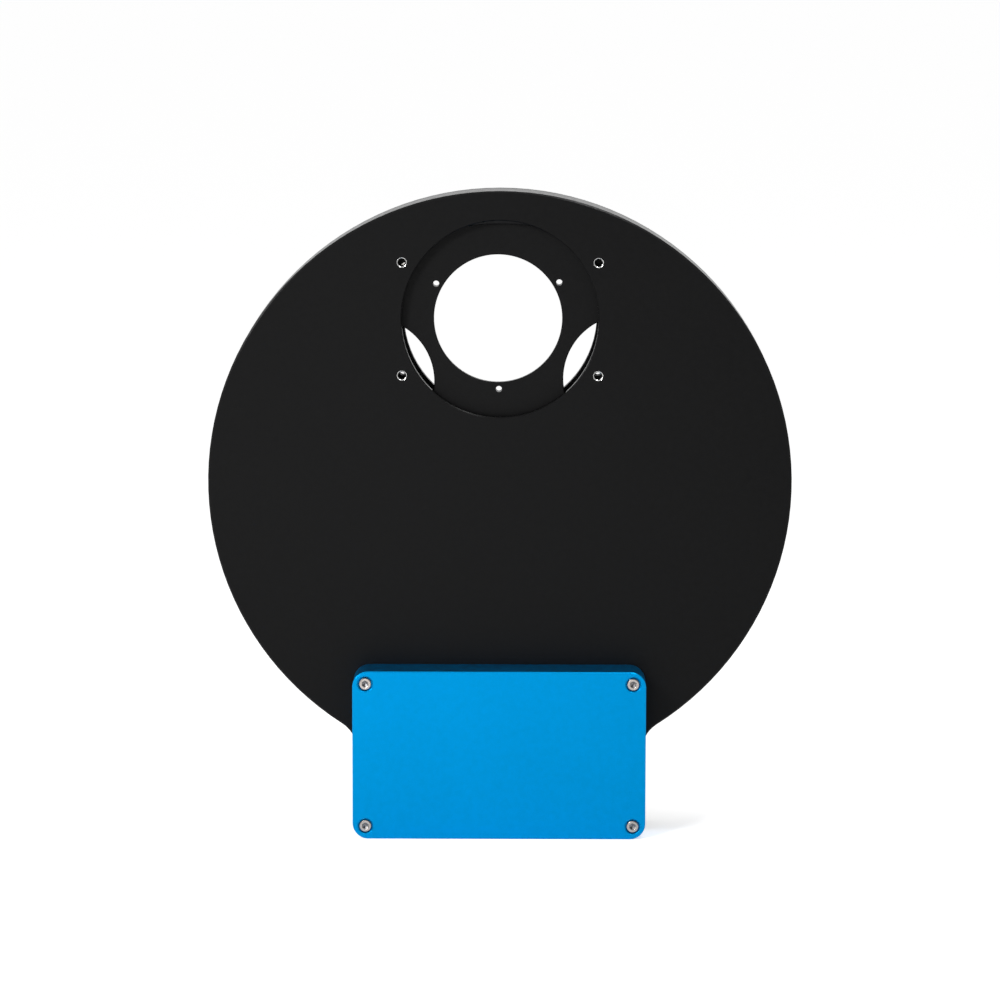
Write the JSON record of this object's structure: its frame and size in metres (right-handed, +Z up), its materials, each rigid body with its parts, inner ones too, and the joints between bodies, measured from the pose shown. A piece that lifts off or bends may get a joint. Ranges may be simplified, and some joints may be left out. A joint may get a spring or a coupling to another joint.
{
  "type": "optical filter wheel",
  "caption": "Motorised optical filter wheel: a flat round black body on a short neck, an off-centre light opening, a geared carousel of round filter seats inside and a blue motor cover.",
  "frame": {"origin": "centre of the camera opening and of its bolt rectangle, on the body's front face", "axes": "+X right and +Z up as seen from the camera side, +Y from the camera towards the telescope"},
  "size_m": [0.2192, 0.0366, 0.2424],
  "materials": {
    "black_anodised": "bead blasted, black anodised, satin",
    "carousel_black": "black anodised, matte",
    "gear_black": "black anodised, machined",
    "blue_anodised": "bead blasted, blue anodised, satin",
    "screw_steel": "plain stainless steel",
    "black_steel": "blackened steel",
    "bearing_steel": "ground and polished",
    "shaft_steel": "ground",
    "motor_can": "drawn steel, black",
    "motor_plate": "plated sheet steel",
    "board_green": "green solder mask",
    "chip_black": "moulded, matte",
    "socket_white": "moulded nylon",
    "port_shell": "drawn shell",
    "magnet_plate": "nickel plated",
    "brass_turned": "turned",
    "cage_brass": "pressed"
  },
  "bodies": {
    "housing": {"front_plate": "black_anodised", "body_frame": "black_anodised", "hub_post": "shaft_steel", "rear_cover": "black_anodised", "rear_cover_screws": "black_steel", "motor_cover": "blue_anodised", "cover_screws": "screw_steel", "bearing_inner_ring": "bearing_steel", "hub_washer": "screw_steel", "hub_screw": "screw_steel", "motor_body": "motor_can", "motor_flange": "motor_plate", "motor_screws": "screw_steel", "control_board": "board_green", "board_spacers": "brass_turned", "board_screws": "screw_steel", "controller_chip": "chip_black", "driver_chip": "chip_black", "motor_socket": "socket_white", "sensor_socket": "socket_white", "usb_socket": "port_shell", "usb_tongue": "chip_black", "sensor_board": "board_green", "hall_sensor": "chip_black", "sensor_screws": "screw_steel"},
    "carousel": {"filter_carrier_1": "carousel_black", "filter_carrier_2": "carousel_black", "filter_carrier_3": "carousel_black", "filter_carrier_4": "carousel_black", "filter_carrier_5": "carousel_black", "filter_carrier_6": "carousel_black", "filter_carrier_7": "carousel_black", "carousel_hub": "carousel_black", "carrier_screws": "screw_steel", "ring_gear": "gear_black", "bearing_outer_ring": "bearing_steel", "index_magnets": "magnet_plate", "home_magnet": "magnet_plate"},
    "ball_cage": {"bearing_balls": "bearing_steel", "bearing_cage": "cage_brass"},
    "motor_rotor": {"motor_shaft": "shaft_steel", "drive_pinion": "brass_turned", "pinion_set_screw": "black_steel"}
  },
  "joints": [
    {"name": "carousel_spin", "type": "hinge", "parent": "housing", "child": "carousel", "pos_m": [0, 0.008, -0.06165], "axis": [0, -1, 0], "continuous": true},
    {"name": "ball_cage_spin", "type": "hinge", "parent": "housing", "child": "ball_cage", "pos_m": [0, 0.009, -0.06165], "axis": [0, -1, 0], "continuous": true},
    {"name": "motor_spin", "type": "hinge", "parent": "housing", "child": "motor_rotor", "pos_m": [0, 0.0072, -0.17415], "axis": [0, -1, 0], "continuous": true}
  ],
  "couplings": [
    {"joint": "motor_spin", "follows": "carousel_spin", "ratio": -8},
    {"joint": "ball_cage_spin", "follows": "carousel_spin", "ratio": 0.5963}
  ]
}
